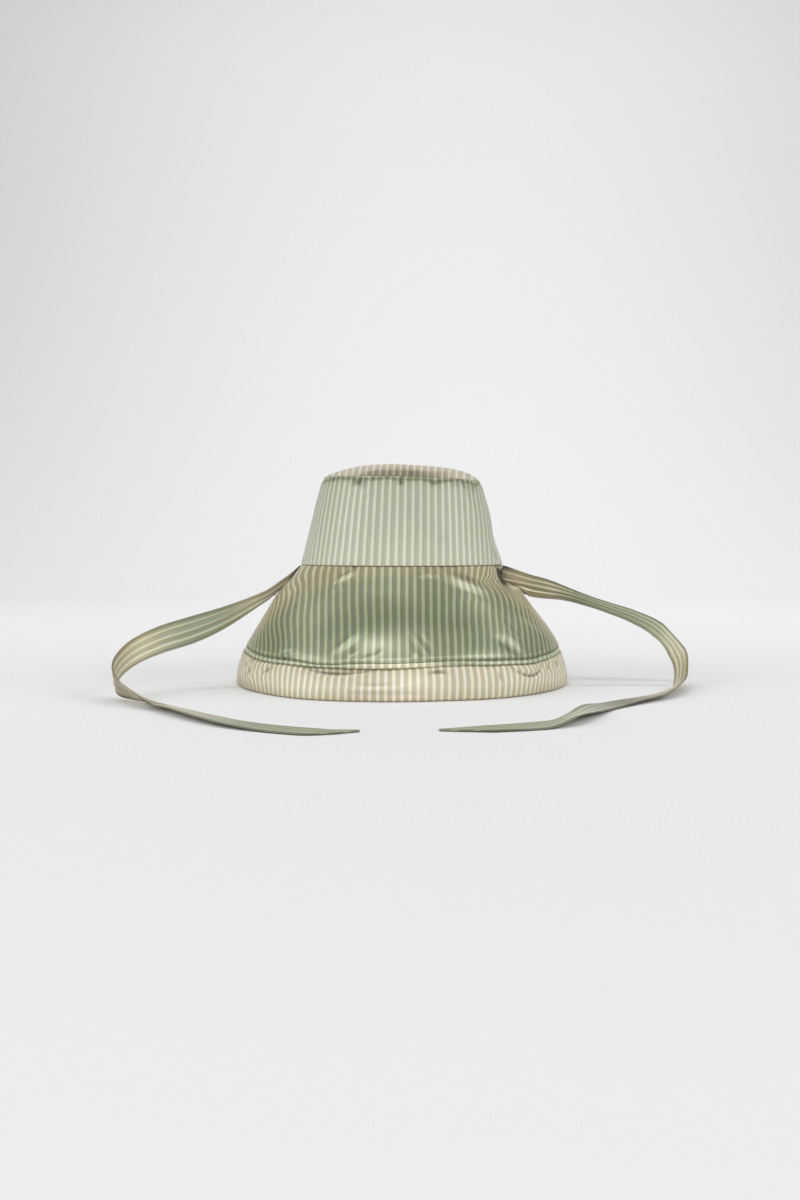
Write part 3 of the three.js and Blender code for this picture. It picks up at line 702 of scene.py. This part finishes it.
# Crown side. A tapered band of pale sage satin, seamed at the back, stands on the brim with its foot turned
# in a little proud of it. The stripes run upright at the front and lean with the cut towards the sides.
CROWN_SWELL, CROWN_SLOPE = 1.0, -0.26
CROWN_REACH, CROWN_ROUNDING, CROWN_ROUNDS_FROM, CROWN_ROUNDS_TO = 186.2, 1.9, 180, 188
CROWN_ANGLE = 0.252  # sine of the half angle of the cone that the flat band rolls into
CROWN_MIDDLE, CROWN_CLOTH = 146, 1.03  # the height that stripes lean about, and cloth for one of height
CROWN_COLUMNS, CROWN_ROWS = 720, 66
# angle round from the front, and the stripes' lean in degrees that is added there to the cone's own
CROWN_LEAN = np.array([(-180, 7), (-90, 7), (-38, 6.7), (-21, 3), (0, 1.1), (36, 0), (180, 0)])
# angle, spread, height, how tall, how far out
CROWN_FOLDS = [(86, 15, 133, 17, -2.8), (60, 12, 150, 20, 0.8), (-78, 16, 140, 20, -1.0)]
# angle, height, half length, half width, tilt from upright towards +X in degrees, how far out
CROWN_CREASES = np.array([
    (-31, 180, 3, 3.6, 0, -1.0), (-26, 176, 6, 2.2, 20, -0.5), (-1.3, 180.5, 3, 3.2, 0, -0.9),
    (22, 181, 2.6, 4.2, 0, -0.8), (-20, 170, 12, 3, 60, -0.35), (24, 132, 12, 4, 70, -0.35),
    (40, 128, 10, 3.5, -60, -0.35), (-34, 150, 16, 6, 12, 0.5), (8, 148, 22, 8, -8, 0.5),
    (-8, 130, 18, 6, 75, 0.4), (50, 160, 22, 6, -20, 0.5), (66, 120, 10, 3, -30, -0.8),
    (60, 118, 12, 4, -26, 0.6), (-60, 130, 20, 7, 14, 0.5), (110, 150, 22, 8, 10, 0.6),
    (160, 150, 20, 8, -14, -0.5), (210, 146, 22, 8, 12, 0.6), (250, 150, 20, 7, -12, -0.5)])
# the same, but the painted shade in the gathers under the crown's top: how deep the cloth looks there
CROWN_SHADES = [
    (-34, 180.5, 3.0, 4.5, 0, 0.7), (-27, 179.5, 3.6, 3.4, -20, 0.7), (0, 180.8, 2.6, 4.6, 0, 0.45),
    (21.5, 181, 2.6, 2.2, 0, 0.5), (39, 181.5, 2.4, 3.6, 0, 0.6), (48, 180.5, 3.4, 3.6, 20, 0.7),
    (58, 180, 3.6, 4.0, 0, 0.6)]


def crown_radius(height):
    """A cone with a swell of one arch of a sine, turning in by a smooth step near its top."""
    share = (height - CROWN_SEAM_HEIGHT) / (CROWN_TOP_HEIGHT - CROWN_SEAM_HEIGHT)
    swell = CROWN_SWELL * np.sin(math.pi * np.minimum(share, 1))
    cone = CROWN_FOOT_RADIUS + (CROWN_TOP_RADIUS - CROWN_FOOT_RADIUS) * share
    return cone + swell - CROWN_ROUNDING * smoothstep(height, CROWN_ROUNDS_FROM, CROWN_ROUNDS_TO)


columns = np.linspace(-180, 180, CROWN_COLUMNS + 1)[:-1]
around = columns[:, None]
level = spaced(CROWN_ROWS, CROWN_SEAM_HEIGHT, CROWN_REACH)[None]
radius = crown_radius(level)
from_foot, from_top = level - CROWN_SEAM_HEIGHT, CROWN_REACH - level
relief = creases(CROWN_CREASES, around, level, radius)
relief += 0.34 * puckers(around, 21, 80) * np.exp(-from_top / 6)
relief += 0.22 * puckers(around, 22, 70) * np.exp(-from_foot / 8)
relief += 0.14 * puckers(around, 23, 34)
# Painted shade lies in the creases and in the gathers under the top, and the very top edge is lighter.
valley = smoothstep(-relief, 0.1, 1.2) + creases(CROWN_SHADES, around, level, radius)
valley += 2.0 * np.clip(puckers(around, 24, 90), 0, 1) * np.exp(-(from_top / 4.5) ** 2)
valley = valley * smoothstep(from_top, 0.5, 1.2) - 0.35 * (1 - smoothstep(from_top, 0.4, 1.2))
relief += soft_relief(CROWN_FOLDS, around, level)
relief += 0.3 * np.exp(-(from_top / 0.6) ** 2) - 0.3 * np.exp(-(from_foot / 0.7) ** 2)
relief -= 0.8 * np.exp(-(np.radians(turned(around, 180)) * radius / 1.1) ** 2)
face, reverse = wall_grid(around, level, radius + relief, CROWN_SLOPE)
full_turn = np.append(columns, 180.0)[:, None]
angle = np.radians(full_turn)
lean = np.radians(np.interp(full_turn, *CROWN_LEAN.T))
leaning = np.tan(lean) * (level - CROWN_MIDDLE) * CROWN_CLOTH
across = radius / CROWN_ANGLE * np.sin(CROWN_ANGLE * angle) - leaning
flat = np.stack([across, np.broadcast_to(from_foot, across.shape)], -1) * 0.001
# up from the foot, the ground's colour there, and the pale stripe's: dye, with the darker stops just under
# the top partly painted shade under the top seam
CROWN_DYE_AND_SHADE = [
    (0, dye(176, 178, 157), dye(212, 213, 196)), (30, dye(166, 171, 150), dye(204, 207, 189)),
    (66, dye(160, 166, 145), dye(198, 201, 183)), (72.6, dye(150, 156, 132), dye(196, 200, 180)),
    (74.4, dye(114, 122, 92), dye(154, 162, 132)), (76.2, dye(110, 118, 88), dye(148, 156, 126)),
    (77.2, dye(148, 152, 128), dye(188, 192, 170))]
CROWN_SATINS = both_sides("crown", CROWN_DYE_AND_SHADE, gloss=0.35, period=6.85, first=2.5)
crown = cloth_piece("crown_panel", hemmed(face, reverse, SEAM_LIP, SEAM_LIP), ring_pattern(flat),
                    ring_shade(valley), True, True, CROWN_SATINS)
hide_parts("crown_side")

# Crown tip. A round of sand satin, cut a little off the grain, closes the crown. It pillows up from its seam
# and is gathered slightly all round it.
TIP_RADIUS, TIP_CUT_RADIUS, TIP_SEAT_GAP = 72.3, 76.0, 0.04
TIP_RIM, TIP_RISE, TIP_SETTLE = 0.5, 12.8, -2.4
TIP_SHOULDER, TIP_LEAN = 4.5, 2.1  # the power of the pillow's curve, and how much more it is towards +X
TIP_GRAIN, TIP_FAN = math.radians(-2.5), math.radians(-4.5)
TIP_COLUMNS, TIP_RINGS = 480, 49
columns = np.linspace(0, 360, TIP_COLUMNS + 1)[:-1]
around = columns[:, None]
to_right = np.sin(np.radians(around))
seat = CROWN_REACH + TIP_SEAT_GAP
share = np.cos(np.linspace(math.pi / 2, 0, TIP_RINGS))[None]  # 0 at the middle, 1 at the rim
settled = TIP_SETTLE * share * (1 - share ** 4) * to_right
from_rim = (1 - share) * TIP_RADIUS
top = seat + TIP_RIM + TIP_RISE * (1 - share ** (TIP_SHOULDER + TIP_LEAN * to_right)) + settled
gathers = 0.5 * puckers(around, 31, 64) * np.exp(-((from_rim - 5) / 5) ** 2)
top = top + gathers + 0.3 * puckers(around, 32, 9) * share
top = np.maximum(top, seat + TIP_RIM)
under = np.maximum(seat, top - CLOTH)
upper = place(around, TIP_RADIUS * share + 0.2 * np.exp(-(from_rim / 1.5) ** 2), top)
rings = np.concatenate([upper, place(around, TIP_RADIUS * share, under)[:, ::-1]], axis=1)
spin = np.radians(np.append(columns, 360.0))[:, None]
turn = spin - TIP_GRAIN - TIP_FAN * np.sin(spin)
grain = np.stack([np.sin(turn), -np.cos(turn)], -1) * (share * TIP_CUT_RADIUS)[..., None] * 0.001
grain = np.concatenate([grain, grain[:, ::-1]], axis=1)
# towards the back of the flat round, the ground's colour there, and the pale stripe's: dye, darkening towards
# the front rim as painted shade of the gathers there
TIP_DYE_AND_SHADE = [
    (-76, dye(126, 117, 97), dye(170, 162, 143)), (-67, dye(150, 141, 121), dye(192, 185, 166)),
    (-60, dye(176, 167, 149), dye(210, 204, 188)), (-40, dye(184, 177, 160), dye(216, 212, 197)),
    (76, dye(172, 165, 146), dye(208, 203, 187))]
TIP_SATINS = both_sides("tip", TIP_DYE_AND_SHADE, gloss=0.2, period=6.8, first=1.6, stripe=2.2)
# Painted shade lies in the gathers' troughs and in a band round the front near the rim.
valley = smoothstep(-gathers, 0.05, 0.6)
valley += 0.6 * smoothstep(share, 0.86, 0.92) * (1 - smoothstep(np.abs(turned(around, 4)), 28, 42))
valley = np.concatenate([valley, np.zeros_like(valley)], axis=1)
tip = cloth_piece("crown_round", rings, grain, valley, True, False, TIP_SATINS)
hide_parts("crown_tip")

# Stitching. Sage thread holds the hem seam's allowance in a row of topstitching just above it, in stitches
# 2.5 mm long, one every 2.8 mm.
STITCHES, STITCH_LENGTH, STITCH_THICKNESS = 330, 2.5, 0.7
THREAD = bpy.data.materials.new("sage thread")
THREAD.use_nodes = True
thread_shader = THREAD.node_tree.nodes["Principled BSDF"]
ply = Yarn(THREAD.node_tree, None)
ply_at = ply.weave("Mapping", ply.weave("TexCoord", outlet=3), named={"Scale": (900.0, 900.0, 900.0)})
twist = ply.weave("TexNoise", ply_at, named={"Scale": 1.0, "Detail": 2.0})
sages = [(0.3, dye(70, 78, 48)), (0.7, dye(112, 120, 84))]
thread_colour = ply.weave("ValToRGB", twist, settings={"stops": sages})
THREAD.node_tree.links.new(thread_colour.socket, thread_shader.inputs["Base Color"])
THREAD.node_tree.links.new((twist * 0.3 + 0.4).socket, thread_shader.inputs["Roughness"])


def stitch_row(name, centres, outward, long, thick):
    """Thread stitches along a closed line of centres, each a spindle of five rings of six points whose ends
    dip into the cloth: half of thick times (0.3, 0.9, 1, 0.9, 0.3) is the rings' radius, and the middle
    stands nearly half a thread proud."""
    forward = unit(np.roll(centres, -1, axis=0) - np.roll(centres, 1, axis=0))
    sideways = np.cross(outward, forward)
    lay = np.linspace(-0.5, 0.5, 5)
    swell = thick / 2 * np.array([0.3, 0.9, 1.0, 0.9, 0.3])
    rise = thick * np.array([-0.55, 0.2, 0.45, 0.2, -0.55])
    turn = np.linspace(0, 2 * math.pi, 7)[:-1]
    spine = centres[:, None] + forward[:, None] * (lay * long)[:, None]
    spine = spine + outward[:, None] * rise[:, None]
    rim = outward[:, None] * np.cos(turn)[:, None] + sideways[:, None] * np.sin(turn)[:, None]
    points = spine[:, :, None] + rim[:, None] * swell[:, None, None]
    ring, point = np.meshgrid(np.arange(0, 24, 6), np.arange(6), indexing="ij")
    beside = (point + 1) % 6
    quads = np.stack([ring + point, ring + beside, ring + 6 + beside, ring + 6 + point], -1).reshape(-1, 4)
    caps = np.array([(0, 5, 4, 3), (0, 3, 2, 1), (24, 25, 26, 27), (24, 27, 28, 29)])
    first_points = 30 * np.arange(len(centres))[:, None, None]
    faces = (np.concatenate([quads, caps])[None] + first_points).reshape(-1, 4)
    points = points.reshape(-1, 3) * 0.001
    if six_volumes(points, faces) < 0:
        faces = faces[:, ::-1]
    mesh = bpy.data.meshes.new(name)
    mesh.from_pydata(points.tolist(), [], faces.tolist())
    mesh.shade_smooth()
    mesh.materials.append(THREAD)
    in_hat(name, mesh)


def on_brim(degrees, rise):
    """Points of the brim's face that far above the hem seam, and the way that the cloth faces there."""
    def at(d, up):
        height = hem_height(d) + up
        relief = soft_relief(BRIM_FOLDS, d, height) + brim_relief(d, height)
        return place(d, brim_radius(height) + relief, height)

    facing = unit(np.cross(at(degrees + 0.1, rise) - at(degrees - 0.1, rise),
                           at(degrees, rise + 0.3) - at(degrees, rise - 0.3)))
    return at(degrees, rise), facing


stitch_at = np.linspace(0, 360, STITCHES + 1)[:-1] + 0.3
centres, outward = on_brim(stitch_at, stitch_rise(stitch_at))
stitch_row("hem_topstitching", centres, outward, STITCH_LENGTH, STITCH_THICKNESS)

# Surface and light. A pale seamless sweep, broad soft lights from the front, above and both sides, and one
# that washes the wall behind.
SWEEP_FRONT, SWEEP_BEND, SWEEP_RADIUS, SWEEP_TOP, SWEEP_HALF_WIDTH = -4.0, 1.6, 2.0, 5.0, 5.0
sweep_x = np.linspace(-SWEEP_HALF_WIDTH, SWEEP_HALF_WIDTH, 3)
bend = np.linspace(0.05, math.pi / 2, 24)
profile = np.concatenate([
    np.stack([np.linspace(SWEEP_FRONT, SWEEP_BEND, 8), np.zeros(8)], -1),
    np.stack([SWEEP_BEND + SWEEP_RADIUS * np.sin(bend), SWEEP_RADIUS - SWEEP_RADIUS * np.cos(bend)], -1),
    np.array([(SWEEP_BEND + SWEEP_RADIUS, SWEEP_TOP)])])
sweep_points = np.array([(x, y, z) for y, z in profile for x in sweep_x])
row, column = np.meshgrid(np.arange(len(profile) - 1), np.arange(2), indexing="ij")
corner = row * 3 + column
sweep_quads = np.stack([corner, corner + 1, corner + 4, corner + 3], -1)
sweep_mesh = bpy.data.meshes.new("sweep")
sweep_mesh.from_pydata(sweep_points.tolist(), [], sweep_quads.reshape(-1, 4).tolist())
sweep_mesh.shade_smooth()
sweep = added("sweep", sweep_mesh)
paper = bpy.data.materials.new("pale paper")
paper.use_nodes = True
paper_inlets = paper.node_tree.nodes["Principled BSDF"].inputs
for inlet, value in (("Base Color", dye(236, 236, 237)), ("Roughness", 0.9), ("Specular IOR Level", 0.1)):
    paper_inlets[inlet].default_value = value
sweep_mesh.materials.append(paper)

bpy.context.scene.view_settings.view_transform = "Standard"
world = bpy.data.worlds.new("studio")
bpy.context.scene.world = world
world.use_nodes = True
sky = world.node_tree.nodes["Background"]
sky.inputs["Color"].default_value = (1.0, 1.0, 1.0, 1.0)
sky.inputs["Strength"].default_value = 0.38


def soft_light(name, where, at, wide, painted_shade_amount, power):
    """A rectangular area light of power watts at where, facing at, wide by deep metres."""
    light = bpy.data.lights.new(name, "AREA")
    light.shape, light.size, light.size_y, light.energy = "RECTANGLE", wide, painted_shade_amount, power
    lamp = added(name, light)
    lamp.location = where
    away = np.array(where) - np.array(at)
    lamp.rotation_euler = (math.acos(away[2] / np.linalg.norm(away)), 0, math.atan2(away[0], -away[1]))


soft_light("overhead", (-0.25, -0.65, 2.0), (0, -0.1, 0.06), 1.4, 0.5, 6.5)
soft_light("left side", (-2.0, -0.7, 1.2), (0, 0, 0.08), 1.8, 1.5, 18.5)
soft_light("right side", (2.0, -0.7, 1.2), (0, 0, 0.08), 1.8, 1.5, 17)
soft_light("front fill", (0.0, -2.2, 0.55), (0, 0, 0.05), 1.2, 0.6, 12)
soft_light("wall wash", (0.3, 0.9, 2.3), (0.4, 3.2, 0.5), 3.0, 1.0, 38)

bpy.context.view_layer.update()
